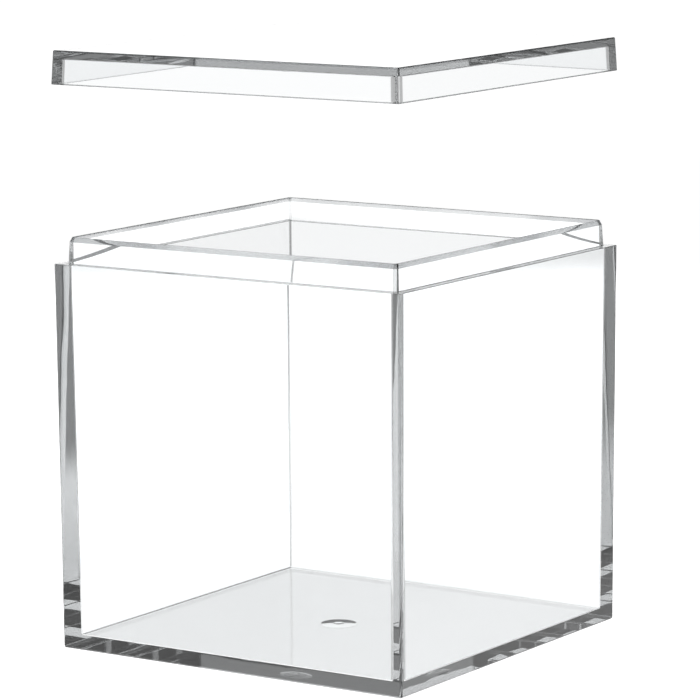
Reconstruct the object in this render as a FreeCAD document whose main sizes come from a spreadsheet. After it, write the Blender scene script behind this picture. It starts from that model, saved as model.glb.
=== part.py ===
import FreeCAD, Part
import os
import Sketcher

# A clear plastic display box with a lift-off lid. Both pieces are injection moulded.
#
# box_body  a square tub with a thinner neck standing inside a flat shoulder, all in one piece
# lid       a flat plate with a skirt, which slips over the neck and ends flush with the tub
#
# Millimetres. +Z is up, the walls face +-X and +-Y, and the origin is the middle of the underside.
# The lid stands square above the open box, at the top of its travel.

SIZES = (
    ("box_side", 100.0, "outer side of the tub at the shoulder, and of the lid at its lower edge"),
    ("box_height", 95.4, "underside to shoulder"),
    ("base_lean", 0.5, "each outer wall leans in by this much at the underside"),
    ("corner_radius", 0.6, "upright outer corners of the tub and the lid"),
    ("base_edge_radius", 0.5, "edge round the underside"),
    ("shoulder_width", 2.3, "flat shoulder from the outer wall to the neck"),
    ("shoulder_edge_radius", 0.2, "outer edge of the shoulder"),
    ("neck_height", 6.4, "shoulder to rim"),
    ("neck_lean", 0.25, "each outer face of the neck leans in by this much at the rim"),
    ("neck_corner_radius", 1.0, "upright outer corners of the neck"),
    ("neck_root_radius", 0.15, "corner between the neck and the shoulder"),
    ("rim_outer_radius", 0.5, "lead-in round the outside of the rim"),
    ("rim_inner_radius", 0.15, "inside edge of the rim"),
    ("cavity_rim_side", 93.3, "inside of the tub at the rim"),
    ("cavity_floor_side", 91.4, "inside of the tub at the floor"),
    ("cavity_corner_radius", 0.5, "upright inside corners of the tub"),
    ("floor_thickness", 3.2, "underside to the floor of the tub"),
    ("floor_edge_radius", 0.4, "corner between the floor and the walls"),
    ("gate_recess_radius", 4.6, "round recess at the moulding gate, in the underside"),
    ("gate_recess_depth", 0.45, "depth of that recess at its middle"),
    ("gate_pip_radius", 1.1, "pip left where the gate was cut off"),
    ("gate_pip_clearance", 0.15, "from the underside up to the end of the pip"),
    ("lid_plate", 2.1, "thickness of the lid's plate"),
    ("skirt_depth", 6.2, "lower edge of the lid up to the inside of its plate"),
    ("skirt_lean", 0.4, "each outer face of the lid leans in by this much at the top"),
    ("skirt_clearance", 0.2, "each side, between the neck and the skirt"),
    ("skirt_corner_radius", 1.2, "upright inside corners of the skirt"),
    ("skirt_edge_radius", 0.2, "lower edges of the skirt"),
    ("lid_top_radius", 0.4, "edge round the top of the lid"),
    ("plate_corner_radius", 0.3, "inside corner between the skirt and the plate"),
    ("seat_gap", 0.05, "left between the rim and the plate when the lid is down"),
    ("lid_lift", 43.3, "height the lid stands above its closed place"),
)


# Sizes worked out from the sheet, as expressions.
NECK_SIDE = "sizes.box_side - 2 * sizes.shoulder_width"
HOLLOW_SIDE = NECK_SIDE + " + 2 * sizes.skirt_clearance"
LID_HEIGHT = "sizes.skirt_depth + sizes.lid_plate"
CAVITY_DEPTH = "sizes.box_height + sizes.neck_height - sizes.floor_thickness"
CAVITY_LEAN = "(sizes.cavity_rim_side - sizes.cavity_floor_side) / 2"

DRAWN_SIDE = 20.0    # side that a square is drawn with, before its size is bound to the sheet
LEAN_SLACK = 0.6     # how far a leaning or rounded corner edge may end from the level asked for
LEVEL_SLACK = 0.01   # and a level edge, or any edge's reach
WALL_SLACK = 1.0     # how far inside or outside a wall its edges may still lie once it leans
LEVEL_FACE = 0.5     # a face whose normal rises by more than this is a level one, not a wall


def make_sheet(doc):
    sheet = doc.addObject("Spreadsheet::Sheet", "sizes")
    for row, (alias, value, note) in enumerate(SIZES, start=1):
        sheet.set("A%d" % row, note)
        sheet.set("B%d" % row, str(value))
        sheet.setAlias("B%d" % row, alias)
    doc.recompute()


def origin_plane(body, role):
    return [feature for feature in body.Origin.OriginFeatures if feature.Role == role][0]


def new_sketch(body, name, role):
    sketch = body.newObject("Sketcher::SketchObject", name)
    sketch.AttachmentSupport = (origin_plane(body, role), "")
    sketch.MapMode = "FlatFace"
    return sketch


def square_sketch(body, name, level, side):
    """A square centred on the Z axis, at a height and with a side given as expressions."""
    sketch = new_sketch(body, name, "XY_Plane")
    sketch.setExpression("AttachmentOffset.Base.z", level)
    half = DRAWN_SIDE / 2
    turns = ((-half, -half), (half, -half), (half, half), (-half, half))
    corners = [FreeCAD.Vector(x, y, 0) for x, y in turns]
    for start, end in zip(corners, corners[1:] + corners[:1]):
        sketch.addGeometry(Part.LineSegment(start, end), False)
    for line in range(4):
        sketch.addConstraint(Sketcher.Constraint("Coincident", line, 2, (line + 1) % 4, 1))
        sketch.addConstraint(Sketcher.Constraint("Vertical" if line % 2 else "Horizontal", line))
    sketch.addConstraint(Sketcher.Constraint("Symmetric", 0, 1, 2, 1, -1, 1))
    sketch.addConstraint(Sketcher.Constraint("Equal", 0, 1))
    distance = sketch.addConstraint(Sketcher.Constraint("DistanceX", 0, 1, 0, 2, DRAWN_SIDE))
    sketch.renameConstraint(distance, "side")
    sketch.setExpression("Constraints.side", side)
    return sketch


def prism(body, kind, name, level, side, length, flip=False):
    """A square prism added to the body (Pad) or taken out of it (Pocket), from a level."""
    outline = square_sketch(body, name + "_outline", level, side)
    feature = body.newObject("PartDesign::" + kind, name)
    feature.Profile = outline
    feature.setExpression("Length", length)
    feature.Reversed = flip
    body.Document.recompute()
    return feature


def edge_points(edge):
    """The two ends and the middle of an edge."""
    first, last = edge.ParameterRange
    return [edge.valueAt(first + (last - first) * share) for share in (0.0, 0.5, 1.0)]


def within_reach(point, reach_from, reach_to):
    """Whether the side of the centred square that the point lies on is that far from the Z axis."""
    reach = max(abs(point.x), abs(point.y))
    return reach_from - LEVEL_SLACK <= reach <= reach_to + LEVEL_SLACK


def upright(low, high, reach_from, reach_to):
    """Test for corner edges that run between two heights, within a range of reach."""
    def wanted(edge):
        points = edge_points(edge)
        levels = sorted(point.z for point in points)
        spans = abs(levels[0] - low) < LEAN_SLACK and abs(levels[-1] - high) < LEAN_SLACK
        return spans and all(within_reach(point, reach_from, reach_to) for point in points)
    return wanted


def level_ring(level, reach_from, reach_to):
    """Test for the edges of a level ring, within a range of reach."""
    def wanted(edge):
        return all(abs(point.z - level) < LEVEL_SLACK and within_reach(point, reach_from, reach_to)
                   for point in edge_points(edge))
    return wanted


def lean_walls(body, name, lean, height, level, reach, flip=False):
    """Lean the four walls at a reach from the Z axis about their edge at a level, as moulding needs."""
    base = body.Tip
    walls, neutral = [], None
    for number, face in enumerate(base.Shape.Faces, start=1):
        middle = face.CenterOfMass
        if abs(face.normalAt(0, 0).z) > LEVEL_FACE:
            if abs(middle.z - level) < LEVEL_SLACK:
                neutral = "Face%d" % number
        elif abs(max(abs(middle.x), abs(middle.y)) - reach) < LEVEL_SLACK:
            walls.append("Face%d" % number)
    if len(walls) != 4 or neutral is None:
        raise RuntimeError("%s: %d walls found, 4 expected" % (name, len(walls)))
    feature = body.newObject("PartDesign::Draft", name)
    feature.Base = (base, walls)
    feature.NeutralPlane = (base, [neutral])
    feature.Reversed = flip
    feature.setExpression("Angle", "atan((%s) / (%s))" % (lean, height))
    body.Document.recompute()
    return feature


def fillet(body, name, radius, wanted, count):
    """Round the edges that pass the test. There must be as many of them as the shape calls for."""
    body.Document.recompute()
    base = body.Tip
    edges = enumerate(base.Shape.Edges, start=1)
    names = ["Edge%d" % number for number, edge in edges if wanted(edge)]
    if len(names) != count:
        raise RuntimeError("%s: %d edges found, %d expected" % (name, len(names), count))
    feature = body.newObject("PartDesign::Fillet", name)
    feature.Base = (base, names)
    feature.setExpression("Radius", "sizes." + radius)
    return feature


def gate_recess(body):
    """A shallow dish turned into the underside, with the cut-off gate standing in it as a pip."""
    sheet = body.Document.getObject("sizes")
    radius, depth = sheet.gate_recess_radius, sheet.gate_recess_depth
    pip, pip_end = sheet.gate_pip_radius, sheet.gate_pip_clearance
    sphere = (radius ** 2 + depth ** 2) / (2 * depth)
    pip_root = depth - sphere + (sphere ** 2 - pip ** 2) ** 0.5

    sketch = new_sketch(body, "gate_profile", "XZ_Plane")
    centre = FreeCAD.Vector(0, depth - sphere, 0)
    rim, root = FreeCAD.Vector(radius, 0, 0), FreeCAD.Vector(pip, pip_root, 0)
    axis_end, pip_edge = FreeCAD.Vector(0, pip_end, 0), FreeCAD.Vector(pip, pip_end, 0)
    across = FreeCAD.Vector(1, 0, 0)
    circle = Part.Circle(centre, FreeCAD.Vector(0, 0, 1), sphere)
    angles = [(point - centre).getAngle(across) for point in (rim, root)]
    arc = sketch.addGeometry(Part.ArcOfCircle(circle, *angles), False)
    side = sketch.addGeometry(Part.LineSegment(root, pip_edge), False)
    end = sketch.addGeometry(Part.LineSegment(pip_edge, axis_end), False)
    axis = sketch.addGeometry(Part.LineSegment(axis_end, FreeCAD.Vector(0, 0, 0)), False)
    face = sketch.addGeometry(Part.LineSegment(FreeCAD.Vector(0, 0, 0), rim), False)
    for first, first_end, second, second_end in (
            (arc, 2, side, 1), (side, 2, end, 1), (end, 2, axis, 1), (axis, 2, face, 1), (face, 2, arc, 1)):
        sketch.addConstraint(Sketcher.Constraint("Coincident", first, first_end, second, second_end))
    for kind, line in (("Vertical", side), ("Horizontal", end), ("Vertical", axis), ("Horizontal", face)):
        sketch.addConstraint(Sketcher.Constraint(kind, line))
    sketch.addConstraint(Sketcher.Constraint("Coincident", axis, 2, -1, 1))
    sketch.addConstraint(Sketcher.Constraint("PointOnObject", arc, 3, -2))
    driven = (
        ("recess_radius", Sketcher.Constraint("DistanceX", face, 1, face, 2, radius),
         "sizes.gate_recess_radius"),
        ("pip_radius", Sketcher.Constraint("DistanceX", axis, 1, side, 2, pip),
         "sizes.gate_pip_radius"),
        ("pip_clearance", Sketcher.Constraint("DistanceY", axis, 2, axis, 1, pip_end),
         "sizes.gate_pip_clearance"),
        ("dish_radius", Sketcher.Constraint("Radius", arc, sphere),
         "(sizes.gate_recess_radius^2 + sizes.gate_recess_depth^2) / (2 * sizes.gate_recess_depth)"),
    )
    for label, constraint, expression in driven:
        sketch.renameConstraint(sketch.addConstraint(constraint), label)
        sketch.setExpression("Constraints." + label, expression)

    groove = body.newObject("PartDesign::Groove", "gate_recess")
    groove.Profile = sketch
    groove.ReferenceAxis = (sketch, ["V_Axis"])
    groove.Angle = 360.0
    return groove


def make_box_body(doc):
    body = doc.addObject("PartDesign::Body", "box_body")
    body.Label = "box_body"
    sizes = doc.getObject("sizes")
    shoulder = sizes.box_height
    rim = shoulder + sizes.neck_height
    floor = sizes.floor_thickness
    outer = sizes.box_side / 2
    neck = outer - sizes.shoulder_width
    inner = sizes.cavity_rim_side / 2
    floor_inner = sizes.cavity_floor_side / 2 - WALL_SLACK
    shoulder_middle = (outer + neck) / 2
    neck_least = inner + (neck - inner) / 4

    prism(body, "Pad", "tub", "0 mm", "sizes.box_side", "sizes.box_height")
    lean_walls(body, "tub_lean", "sizes.base_lean", "sizes.box_height", shoulder, outer, flip=True)
    prism(body, "Pad", "neck", "sizes.box_height", NECK_SIDE, "sizes.neck_height")
    lean_walls(body, "neck_lean", "sizes.neck_lean", "sizes.neck_height", shoulder, neck)
    prism(body, "Pocket", "cavity", "sizes.box_height + sizes.neck_height",
          "sizes.cavity_rim_side", CAVITY_DEPTH)
    lean_walls(body, "cavity_lean", CAVITY_LEAN, CAVITY_DEPTH, rim, inner)

    fillet(body, "tub_corners", "corner_radius", upright(0, shoulder, shoulder_middle, outer), 4)
    fillet(body, "neck_corners", "neck_corner_radius", upright(shoulder, rim, neck_least, neck), 4)
    fillet(body, "cavity_corners", "cavity_corner_radius", upright(floor, rim, floor_inner, inner), 4)
    fillet(body, "floor_edge", "floor_edge_radius", level_ring(floor, floor_inner, inner), 8)
    fillet(body, "base_edge", "base_edge_radius", level_ring(0, shoulder_middle, outer), 8)
    fillet(body, "shoulder_edge", "shoulder_edge_radius",
           level_ring(shoulder, shoulder_middle, outer), 8)
    fillet(body, "neck_root", "neck_root_radius", level_ring(shoulder, neck_least, neck), 8)
    fillet(body, "rim_outside", "rim_outer_radius", level_ring(rim, neck_least, neck), 8)
    fillet(body, "rim_inside", "rim_inner_radius", level_ring(rim, inner - WALL_SLACK, inner), 8)
    gate_recess(body)
    return body


def make_lid(doc):
    body = doc.addObject("PartDesign::Body", "lid")
    body.Label = "lid"
    sizes = doc.getObject("sizes")
    plate = sizes.skirt_depth
    top = plate + sizes.lid_plate
    outer = sizes.box_side / 2
    hollow = outer - sizes.shoulder_width + sizes.skirt_clearance
    skirt_middle = (outer + hollow) / 2
    hollow_least = hollow - WALL_SLACK

    prism(body, "Pad", "plate_and_skirt", "0 mm", "sizes.box_side", LID_HEIGHT)
    lean_walls(body, "skirt_lean", "sizes.skirt_lean", LID_HEIGHT, 0, outer)
    prism(body, "Pocket", "hollow", "0 mm", HOLLOW_SIDE, "sizes.skirt_depth", flip=True)
    lean_walls(body, "hollow_lean", "sizes.neck_lean", "sizes.neck_height", 0, hollow, flip=True)

    fillet(body, "lid_corners", "corner_radius", upright(0, top, skirt_middle, outer), 4)
    fillet(body, "hollow_corners", "skirt_corner_radius", upright(0, plate, hollow_least, hollow), 4)
    fillet(body, "plate_corner", "plate_corner_radius", level_ring(plate, hollow_least, hollow), 8)
    fillet(body, "top_edge", "lid_top_radius", level_ring(top, hollow, outer), 8)
    fillet(body, "skirt_edges", "skirt_edge_radius", level_ring(0, hollow_least, outer), 16)
    body.setExpression(
        "Placement.Base.z",
        "sizes.box_height + sizes.neck_height + sizes.seat_gap - sizes.skirt_depth + sizes.lid_lift")
    return body


# Pairs of features where the second must leave less material than the first.
SHRINKING = (
    ("tub", "tub_lean"),
    ("neck", "neck_lean"),
    ("neck_lean", "cavity"),
    ("rim_inside", "gate_recess"),
    ("plate_and_skirt", "skirt_lean"),
    ("skirt_lean", "hollow"),
)


def check(doc, bodies):
    """Stop before anything is written if a feature failed or a shape isn't one closed solid."""
    failed = [obj.Name for obj in doc.Objects if "Invalid" in obj.State or "Error" in obj.State]
    if failed:
        raise RuntimeError("failed features: " + ", ".join(failed))
    for body in bodies:
        shape = body.Shape
        if shape.isNull() or not shape.isValid() or len(shape.Solids) != 1:
            raise RuntimeError("bad shape: " + body.Label)
    for before, after in SHRINKING:
        if not doc.getObject(after).Shape.Volume < doc.getObject(before).Shape.Volume:
            raise RuntimeError("%s removed nothing" % after)


def main():
    doc = FreeCAD.newDocument("display_box")
    make_sheet(doc)
    bodies = [make_box_body(doc), make_lid(doc)]
    doc.recompute()
    check(doc, bodies)
    os.makedirs("parts", exist_ok=True)
    for body in bodies:
        body.Shape.exportStep(os.path.join("parts", body.Label + ".step"))
        box = body.Shape.BoundBox
        print("%s: volume %.1f mm3, X %.2f Y %.2f Z %.2f to %.2f" % (
            body.Label, body.Shape.Volume, box.XLength, box.YLength, box.ZMin, box.ZMax))


main()
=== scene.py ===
import math

import bmesh
import bpy
from mathutils import Matrix, Vector


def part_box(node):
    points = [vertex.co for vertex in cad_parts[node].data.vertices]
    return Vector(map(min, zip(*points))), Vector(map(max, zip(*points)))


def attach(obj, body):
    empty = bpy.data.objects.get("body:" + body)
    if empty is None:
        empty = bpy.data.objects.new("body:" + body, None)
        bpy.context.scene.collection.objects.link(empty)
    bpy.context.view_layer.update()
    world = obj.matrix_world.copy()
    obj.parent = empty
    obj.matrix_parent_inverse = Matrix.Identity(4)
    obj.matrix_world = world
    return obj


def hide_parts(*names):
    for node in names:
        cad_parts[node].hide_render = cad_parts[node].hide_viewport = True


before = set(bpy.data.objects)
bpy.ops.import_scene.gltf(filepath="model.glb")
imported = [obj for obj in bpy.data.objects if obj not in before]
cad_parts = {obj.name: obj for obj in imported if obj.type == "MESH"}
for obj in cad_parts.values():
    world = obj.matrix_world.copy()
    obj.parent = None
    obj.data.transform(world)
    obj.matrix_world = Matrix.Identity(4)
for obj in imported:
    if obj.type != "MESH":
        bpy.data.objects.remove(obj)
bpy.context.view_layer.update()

# A clear moulded display box with its lid lifted off, in metres.
#
# clear_box   the tub: thick leaning walls, a flat shoulder, a thin neck and the floor
# clear_lid   the lid: a flat plate with a short skirt

MM = 0.001

box_low, box_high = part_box("box_body")
lid_low, lid_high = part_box("lid")
HALF = (box_high.x - box_low.x) / 2
RIM = box_high.z

# The tub.
NECK_HEIGHT = 6.4 * MM
SHOULDER = RIM - NECK_HEIGHT
SHOULDER_WIDTH = 2.3 * MM
BASE_LEAN = 0.5 * MM
NECK_LEAN = 0.25 * MM
LEAD_IN_HEIGHT = 1.1 * MM
LEAD_IN_WIDTH = 0.45 * MM
FLOOR = 3.2 * MM
CAVITY_RIM = 46.65 * MM
CAVITY_FLOOR = 45.7 * MM

# The lid.
LID_PLATE = 2.1 * MM
SKIRT_LEAN = 0.4 * MM
SKIRT_CLEARANCE = 0.2 * MM
HOLLOW_LEAN = 0.24 * MM

# The gate mark under the floor.
GATE_RADIUS = 4.6 * MM
GATE_DEPTH = 0.45 * MM
PIP_RADIUS = 1.1 * MM
PIP_CLEARANCE = 0.15 * MM

NEAR = 0.01 * MM


# ---- shapes ---------------------------------------------------------------------------------

def square_ring(bm, half, level):
    """A level square of four edges."""
    turn = Matrix.Rotation(math.radians(45), 4, "Z")
    made = bmesh.ops.create_circle(
        bm, segments=4, radius=half * math.sqrt(2), matrix=Matrix.Translation((0, 0, level)) @ turn)
    return list({edge for vert in made["verts"] for edge in vert.link_edges})


def draw_walls(bm, ring, profile):
    """Draws a square ring out through the (half side, level) steps of a section."""
    for half, level in profile:
        was = max(abs(ring[0].verts[0].co.x), abs(ring[0].verts[0].co.y))
        made = bmesh.ops.extrude_edge_only(bm, edges=ring)["geom"]
        verts = [item for item in made if isinstance(item, bmesh.types.BMVert)]
        ring = [item for item in made if isinstance(item, bmesh.types.BMEdge)]
        bmesh.ops.scale(bm, verts=verts, vec=(half / was, half / was, 1))
        bmesh.ops.translate(bm, verts=verts, vec=(0, 0, level - verts[0].co.z))
    return ring


def reach(vert):
    return max(abs(vert.co.x), abs(vert.co.y))


def upright_edges(bm, low, high, reach_low, reach_high):
    """Corner edges that run between two levels."""
    def wanted(edge):
        levels = sorted(vert.co.z for vert in edge.verts)
        return (abs(levels[0] - low) < NEAR and abs(levels[1] - high) < NEAR
                and all(reach_low - NEAR < reach(vert) < reach_high + NEAR for vert in edge.verts))
    return [edge for edge in bm.edges if wanted(edge)]


def ring_edges(bm, level, reach_low, reach_high):
    """Edges of a level ring where two faces meet at an angle."""
    def wanted(edge):
        return (len(edge.link_faces) == 2
                and edge.calc_face_angle() > math.radians(30)
                and all(abs(vert.co.z - level) < NEAR
                        and reach_low - NEAR < reach(vert) < reach_high + NEAR for vert in edge.verts))
    return [edge for edge in bm.edges if wanted(edge)]


def mark_shade_and_rub(bm, faces, amount):
    """Marks faces for painted shade in the finish's colour, and for a rougher, rubbed surface."""
    shade_rub_amount = bm.faces.layers.float.get("painted_shade_and_rub")
    for face in faces:
        face[shade_rub_amount] = amount


def round_edges(bm, edges, radius, segments, edge_shade_rub):
    made = bmesh.ops.bevel(bm, geom=edges, offset=radius, offset_type="OFFSET", affect="EDGES",
                           segments=segments, profile=0.5, material=-1, clamp_overlap=False)
    mark_shade_and_rub(bm, made["faces"], edge_shade_rub)


def fill_round_hole(bm, outline, hole):
    """Closes a flat face between its outline and a hole in it."""
    bmesh.ops.triangle_fill(bm, edges=outline + hole, use_beauty=True, use_dissolve=False)


def gate_mark(bm):
    """A shallow dish with the cut-off pip in its middle, and its outer edge."""
    sphere = (GATE_RADIUS ** 2 + GATE_DEPTH ** 2) / (2 * GATE_DEPTH)
    steps = 10
    points = [Vector((0, 0, PIP_CLEARANCE)), Vector((PIP_RADIUS - 0.1 * MM, 0, PIP_CLEARANCE)),
              Vector((PIP_RADIUS, 0, PIP_CLEARANCE + 0.06 * MM))]
    for step in range(steps + 1):
        across = PIP_RADIUS + (GATE_RADIUS - PIP_RADIUS) * step / steps
        points.append(Vector((across, 0, GATE_DEPTH - sphere + math.sqrt(sphere ** 2 - across ** 2))))
    verts = [bm.verts.new(point) for point in points]
    edges = [bm.edges.new(pair) for pair in zip(verts, verts[1:])]
    bmesh.ops.spin(bm, geom=verts + edges, cent=(0, 0, 0), axis=(0, 0, 1), angle=math.tau,
                   steps=64, use_merge=True, use_duplicate=False)
    bmesh.ops.remove_doubles(bm, verts=bm.verts, dist=0.001 * MM)
    rim = [edge for edge in bm.edges if edge.is_boundary]
    return rim


def make_piece(name, bm):
    bmesh.ops.remove_doubles(bm, verts=bm.verts, dist=0.001 * MM)
    bmesh.ops.recalc_face_normals(bm, faces=bm.faces)
    for face in bm.faces:
        face.smooth = True
    mesh = bpy.data.meshes.new(name)
    bm.to_mesh(mesh)
    bm.free()
    piece = bpy.data.objects.new(name, mesh)
    bpy.context.collection.objects.link(piece)
    weighted = piece.modifiers.new("flat walls", "WEIGHTED_NORMAL")
    weighted.mode = "FACE_AREA"
    weighted.weight = 50
    weighted.keep_sharp = True
    return piece


def make_box():
    bm = bmesh.new()
    bm.faces.layers.float.new("painted_shade_and_rub")
    gate_rim = gate_mark(bm)
    neck = HALF - SHOULDER_WIDTH
    base = square_ring(bm, HALF - BASE_LEAN, 0)
    last = draw_walls(bm, base, (
        (HALF, SHOULDER),
        (neck, SHOULDER),
        (neck - NECK_LEAN, RIM - LEAD_IN_HEIGHT),
        (neck - NECK_LEAN - LEAD_IN_WIDTH, RIM),
        (CAVITY_RIM, RIM),
        (CAVITY_FLOOR, FLOOR),
    ))
    bmesh.ops.contextual_create(bm, geom=last)
    bmesh.ops.contextual_create(bm, geom=base)
    bmesh.ops.recalc_face_normals(bm, faces=bm.faces)

    # The last number of each rounding below is how much painted shade greys that edge in the plastic's
    # colour, and how much rougher it is.
    round_edges(bm, upright_edges(bm, 0, SHOULDER, HALF - BASE_LEAN, HALF), 0.6 * MM, 8, 0.4)
    lead_in = RIM - LEAD_IN_HEIGHT
    neck_corners = upright_edges(bm, SHOULDER, lead_in, CAVITY_RIM + 0.3 * MM, neck)
    neck_corners += upright_edges(bm, lead_in, RIM, CAVITY_RIM + 0.3 * MM, neck)
    round_edges(bm, neck_corners, 1.0 * MM, 8, 0.35)
    round_edges(bm, upright_edges(bm, FLOOR, RIM, CAVITY_FLOOR, CAVITY_RIM), 0.5 * MM, 6, 0.7)

    shoulder_middle = HALF - SHOULDER_WIDTH / 2
    neck_least = CAVITY_RIM + 0.25 * MM
    # The faces around the rim get the full painted shade and roughness, and the neck walls a little of
    # both.
    shaded_rubbed_from = lead_in - 0.3 * MM
    shaded_and_rubbed = [face for face in bm.faces if all(vert.co.z > shaded_rubbed_from for vert in face.verts)]
    neck_walls = [face for face in bm.faces if abs(face.normal.z) < 0.2
                  and all(vert.co.z > SHOULDER - 0.3 * MM and reach(vert) > CAVITY_RIM + 0.25 * MM
                          for vert in face.verts)]
    mark_shade_and_rub(bm, neck_walls, 0.22)
    mark_shade_and_rub(bm, shaded_and_rubbed, 1.0)
    round_edges(bm, ring_edges(bm, 0, shoulder_middle, HALF), 0.5 * MM, 6, 0.2)
    round_edges(bm, ring_edges(bm, SHOULDER, shoulder_middle, HALF), 0.2 * MM, 4, 0.55)
    round_edges(bm, ring_edges(bm, SHOULDER, neck_least, neck), 0.15 * MM, 4, 0.55)
    round_edges(bm, ring_edges(bm, RIM, CAVITY_RIM - 0.3 * MM, CAVITY_RIM), 0.15 * MM, 4, 1.0)
    round_edges(bm, ring_edges(bm, FLOOR, CAVITY_FLOOR - 0.3 * MM, CAVITY_FLOOR), 0.4 * MM, 6, 0.3)

    underside = max((face for face in bm.faces if abs(face.calc_center_median().z) < NEAR),
                    key=lambda face: face.calc_area())
    outline = list(underside.edges)
    bmesh.ops.delete(bm, geom=[underside], context="FACES_ONLY")
    fill_round_hole(bm, outline, [edge for edge in gate_rim if edge.is_valid])
    return make_piece("clear_box", bm)


def make_lid():
    bm = bmesh.new()
    bm.faces.layers.float.new("painted_shade_and_rub")
    foot = lid_low.z
    top = lid_high.z
    plate = top - LID_PLATE
    hollow = HALF - SHOULDER_WIDTH + SKIRT_CLEARANCE
    start = square_ring(bm, HALF - SKIRT_LEAN, top)
    last = draw_walls(bm, start, ((HALF, foot), (hollow, foot), (hollow - HOLLOW_LEAN, plate)))
    bmesh.ops.contextual_create(bm, geom=start)
    bmesh.ops.contextual_create(bm, geom=last)
    bmesh.ops.recalc_face_normals(bm, faces=bm.faces)

    skirt_middle = HALF - SHOULDER_WIDTH / 2
    least = hollow - HOLLOW_LEAN
    # As on the box, the last number of each rounding is painted shade that greys the edge, and also
    # roughens it.
    round_edges(bm, upright_edges(bm, foot, top, skirt_middle, HALF), 0.6 * MM, 8, 0.4)
    round_edges(bm, upright_edges(bm, foot, plate, least, hollow), 1.2 * MM, 8, 0.2)
    round_edges(bm, ring_edges(bm, top, skirt_middle, HALF), 0.4 * MM, 6, 0.8)
    round_edges(bm, ring_edges(bm, plate, least - 0.6 * MM, hollow), 0.3 * MM, 4, 0.3)
    round_edges(bm, ring_edges(bm, foot, least - 0.6 * MM, HALF), 0.2 * MM, 4, 0.6)
    return make_piece("clear_lid", bm)


# ---- finishes -------------------------------------------------------------------------------

class Wires:
    """Short ways to add and join nodes."""

    def __init__(self, tree):
        self.nodes, self.links = tree.nodes, tree.links

    def add(self, kind, **settings):
        node = self.nodes.new(kind)
        for name, value in settings.items():
            setattr(node, name, value)
        return node

    def join(self, source, target):
        self.links.new(source, target)

    def maths(self, operation, first, second=None):
        node = self.add("ShaderNodeMath", operation=operation)
        for socket, value in zip(node.inputs, (first, second)):
            self.feed(value, socket)
        return node.outputs[0]

    def vector(self, operation, first, second=None):
        node = self.add("ShaderNodeVectorMath", operation=operation)
        for socket, value in zip(node.inputs, (first, second)):
            self.feed(value, socket)
        return node.outputs["Value" if operation in ("DOT_PRODUCT", "LENGTH") else "Vector"]

    def feed(self, value, socket):
        if value is None:
            return
        if isinstance(value, bpy.types.NodeSocket):
            self.links.new(value, socket)
        else:
            socket.default_value = value

    def blend(self, first, second, share):
        node = self.add("ShaderNodeMix", data_type="FLOAT")
        for name, value in (("Factor", share), ("A", first), ("B", second)):
            self.feed(value, node.inputs[name])
        return node.outputs["Result"]

    def ramp(self, value, low, high, start, end):
        node = self.add("ShaderNodeMapRange", interpolation_type="SMOOTHSTEP")
        for socket, number in zip(node.inputs, (value, low, high, start, end)):
            self.feed(number, socket)
        return node.outputs[0]


def moulded_surface():
    """Faint flow waves, fine rubbing scratches and dust, as masks and a height."""
    group = bpy.data.node_groups.new("moulded surface", "ShaderNodeTree")
    face = group.interface
    for name, value in (("Wave Size", 0.02), ("Scratch Size", 0.004), ("Dust Size", 0.0022)):
        face.new_socket(name, in_out="INPUT", socket_type="NodeSocketFloat").default_value = value
    for name in ("Waves", "Scratches", "Dust"):
        face.new_socket(name, in_out="OUTPUT", socket_type="NodeSocketFloat")
    wires = Wires(group)
    given = wires.add("NodeGroupInput").outputs
    put_out = wires.add("NodeGroupOutput").inputs
    place = wires.add("ShaderNodeTexCoord").outputs["Object"]

    waves = wires.add("ShaderNodeTexNoise")
    wires.join(place, waves.inputs["Vector"])
    wires.feed(wires.maths("DIVIDE", 1.0, given["Wave Size"]), waves.inputs["Scale"])
    waves.inputs["Detail"].default_value = 1.5
    wires.join(waves.outputs["Fac"], put_out["Waves"])

    turned = wires.add("ShaderNodeMapping")
    wires.join(place, turned.inputs["Vector"])
    turned.inputs["Rotation"].default_value = (0.4, 0.9, 0.6)
    turned.inputs["Scale"].default_value = (1, 14, 14)
    lines = wires.add("ShaderNodeTexNoise")
    wires.join(turned.outputs["Vector"], lines.inputs["Vector"])
    wires.feed(wires.maths("DIVIDE", 0.12, given["Scratch Size"]), lines.inputs["Scale"])
    lines.inputs["Detail"].default_value = 3
    wires.join(wires.ramp(lines.outputs["Fac"], 0.62, 0.7, 0, 1), put_out["Scratches"])

    specks = wires.add("ShaderNodeTexVoronoi")
    wires.join(place, specks.inputs["Vector"])
    wires.feed(wires.maths("DIVIDE", 1.0, given["Dust Size"]), specks.inputs["Scale"])
    small = wires.ramp(specks.outputs["Distance"], 0.03, 0.07, 1, 0)
    chosen = wires.add("ShaderNodeSeparateColor")
    wires.join(specks.outputs["Color"], chosen.inputs["Color"])
    few = wires.ramp(chosen.outputs["Red"], 0.9, 0.94, 0, 1)
    wires.join(wires.maths("MULTIPLY", small, few), put_out["Dust"])
    return group


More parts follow.
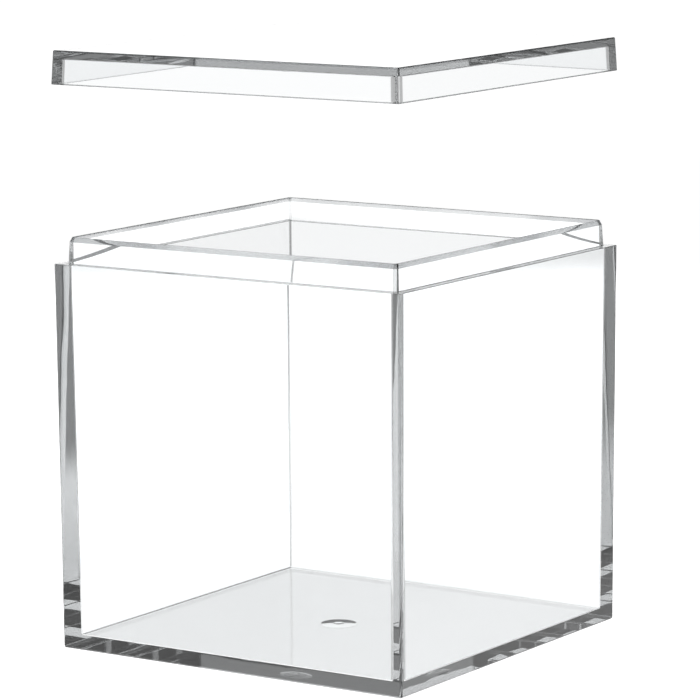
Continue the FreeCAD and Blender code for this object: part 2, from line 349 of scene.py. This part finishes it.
def clear_plastic(name, surface, wave_size, painted_shade_tone):
    """Hard clear plastic: bright faces, greyed by painted shade and rougher where an edge is marked,
    and grey along its length.
    """
    material = bpy.data.materials.new(name)
    material.use_nodes = True
    wires = Wires(material.node_tree)
    shader = wires.nodes["Principled BSDF"]
    detail = wires.add("ShaderNodeGroup", node_tree=surface)
    detail.inputs["Wave Size"].default_value = wave_size
    shade_rub_amount = wires.add("ShaderNodeAttribute", attribute_name="painted_shade_and_rub").outputs["Fac"]
    patchy = wires.ramp(detail.outputs["Waves"], 0.3, 0.7, 0.82, 1)
    shaded_and_rubbed = wires.maths("MULTIPLY", shade_rub_amount, patchy)

    # Painted shade: marked faces are tinted towards the dark tone so their edges read dark; the same
    # marks also make them rougher.
    tint = wires.add("ShaderNodeMix", data_type="RGBA")
    wires.join(shaded_and_rubbed, tint.inputs["Factor"])
    tint.inputs["A"].default_value = (0.97, 0.98, 0.985, 1)
    tint.inputs["B"].default_value = painted_shade_tone
    wires.join(tint.outputs["Result"], shader.inputs["Base Color"])

    marks = wires.maths("MAXIMUM", wires.maths("MULTIPLY", detail.outputs["Scratches"], 0.02),
                        wires.maths("MULTIPLY", detail.outputs["Dust"], 0.12))
    wires.join(wires.maths("ADD", marks, wires.maths("MULTIPLY", shaded_and_rubbed, 0.1)),
               shader.inputs["Roughness"])
    shader.inputs["IOR"].default_value = 1.49
    shader.inputs["Transmission Weight"].default_value = 1.0

    bump = wires.add("ShaderNodeBump")
    bump.inputs["Strength"].default_value = 0.25
    bump.inputs["Distance"].default_value = 0.1 * MM
    wires.join(detail.outputs["Waves"], bump.inputs["Height"])
    wires.join(bump.outputs["Normal"], shader.inputs["Normal"])

    depth = wires.add("ShaderNodeVolumeAbsorption")
    depth.inputs["Color"].default_value = (0.0, 0.02, 0.03, 1)
    depth.inputs["Density"].default_value = 8.0
    wires.join(depth.outputs["Volume"], wires.nodes["Material Output"].inputs["Volume"])
    return material


# ---- studio ---------------------------------------------------------------------------------

# One pale floor under a soft white studio. A pool of light is painted into the floor's glow before and
# behind the box and fades to a paler grey at its sides, and the studio is darker to the left and
# right.
SWEEP_TURN = math.radians(33.6)
SWEEP = (-math.sin(SWEEP_TURN), math.cos(SWEEP_TURN), 0)
ACROSS = (math.cos(SWEEP_TURN), math.sin(SWEEP_TURN), 0)
FLAGS = (math.sin(SWEEP_TURN), math.cos(SWEEP_TURN), 0)
WHITE = 1.3
NEAR_WHITE = 1.6
FAR_WHITE = 1.06
PALE = 0.5
GREY = 0.4
DARK = 0.2
POOL_HALF = 0.0965
POOL_SPREAD = 0.0872
POOL_FADE = 0.07


def cosine(degrees):
    return math.cos(math.radians(degrees))


def sine(degrees):
    return math.sin(math.radians(degrees))


def around(wires, position):
    """How bright the studio is in a level direction, whichever way along it."""
    level = wires.vector("NORMALIZE", wires.vector("MULTIPLY", position, (1, 1, 0)))
    along = wires.maths("ABSOLUTE", wires.vector("DOT_PRODUCT", level, SWEEP))
    toward = wires.maths("ABSOLUTE", wires.vector("DOT_PRODUCT", level, FLAGS))
    side = wires.ramp(along, cosine(26), cosine(18), GREY, WHITE)
    return wires.blend(side, DARK, wires.ramp(toward, cosine(18), cosine(10), 0, 1))


def make_floor():
    bm = bmesh.new()
    bmesh.ops.create_circle(bm, cap_ends=True, segments=96, radius=8.0,
                            matrix=Matrix.Translation((0, 0, -0.05 * MM)))
    mesh = bpy.data.meshes.new("floor")
    bm.to_mesh(mesh)
    bm.free()
    floor = bpy.data.objects.new("floor", mesh)
    bpy.context.collection.objects.link(floor)
    material = bpy.data.materials.new("pale floor")
    material.use_nodes = True
    wires = Wires(material.node_tree)
    shader = wires.nodes["Principled BSDF"]
    place = wires.add("ShaderNodeTexCoord").outputs["Object"]
    # Painted light: the floor glows like a lamp, brightest in a pool along the sweep that fades to
    # PALE at its sides.
    along = wires.maths("ABSOLUTE", wires.vector("DOT_PRODUCT", place, SWEEP))
    aside = wires.maths("ABSOLUTE", wires.vector("DOT_PRODUCT", place, ACROSS))
    edge = wires.maths("ADD", wires.maths("MULTIPLY", along, POOL_SPREAD), POOL_HALF)
    pool = wires.ramp(wires.maths("SUBTRACT", aside, edge), 0, POOL_FADE, 1, 0)
    # Painted light and shade: the glow is brightest just before and behind the box, dimmer under the
    # box itself, and lower further off.
    near = wires.ramp(along, 0.07, 0.12, WHITE, NEAR_WHITE)
    far = wires.ramp(along, 1.0, 1.3, 0.99, FAR_WHITE)
    lit = wires.blend(near, far, wires.ramp(along, 0.58, 0.68, 0, 1))
    strength = wires.blend(PALE, lit, pool)
    shader.inputs["Base Color"].default_value = (0.1, 0.1, 0.1, 1)
    shader.inputs["Roughness"].default_value = 1.0
    shader.inputs["Specular IOR Level"].default_value = 0.0
    shader.inputs["Emission Color"].default_value = (1, 1, 1, 1)
    wires.join(strength, shader.inputs["Emission Strength"])
    mesh.materials.append(material)
    return floor


def make_world():
    world = bpy.data.worlds.new("studio")
    bpy.context.scene.world = world
    world.use_nodes = True
    wires = Wires(world.node_tree)
    background = wires.nodes["Background"]
    background.inputs["Color"].default_value = (1, 1, 1, 1)
    direction = wires.add("ShaderNodeTexCoord").outputs["Generated"]
    height = wires.add("ShaderNodeSeparateXYZ")
    wires.join(direction, height.inputs[0])
    rise = height.outputs["Z"]
    above = wires.ramp(rise, sine(9), sine(12.5), 1, 0.3)
    strength = wires.maths("MULTIPLY", around(wires, direction), above)
    wires.join(strength, background.inputs["Strength"])


def make_camera():
    azimuth = math.radians(33.6)
    elevation = math.radians(9.03)
    distance = 0.992
    right = Vector((math.cos(azimuth), math.sin(azimuth), 0))
    away = Vector((math.sin(azimuth), -math.cos(azimuth), 0))
    target = right * 2.44 * MM + Vector((0, 0, 71.5 * MM))
    offset = away * math.cos(elevation) + Vector((0, 0, math.sin(elevation)))
    data = bpy.data.cameras.new("camera")
    data.lens = 206.6
    data.sensor_width = 36
    data.clip_end = 50
    camera = bpy.data.objects.new("camera", data)
    bpy.context.collection.objects.link(camera)
    look = (-offset).to_track_quat("-Z", "Y").to_matrix().to_4x4()
    camera.matrix_world = (Matrix.Translation(target + offset * distance) @ look
                           @ Matrix.Rotation(math.radians(-0.396), 4, "Z"))
    bpy.context.scene.camera = camera


surface = moulded_surface()
# The last colour given to each plastic is the dark tone of its painted edge shade.
box_plastic = clear_plastic("clear plastic, box", surface, 0.02, (0.13, 0.135, 0.14, 1))
lid_plastic = clear_plastic("clear plastic, lid", surface, 0.03, (0.3, 0.31, 0.32, 1))
for piece, node, body, plastic in ((make_box(), "box_body", "box", box_plastic),
                                   (make_lid(), "lid", "lid", lid_plastic)):
    piece.data.materials.append(plastic)
    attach(piece, body)
    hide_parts(node)
make_floor()
make_world()
make_camera()

scene = bpy.context.scene
scene.view_settings.view_transform = "Standard"
scene.cycles.max_bounces = 32
scene.cycles.transmission_bounces = 32
scene.cycles.glossy_bounces = 32
scene.cycles.diffuse_bounces = 3
scene.cycles.transparent_max_bounces = 32
scene.cycles.use_denoising = True
scene.cycles.caustics_refractive = True
scene.cycles.caustics_reflective = True
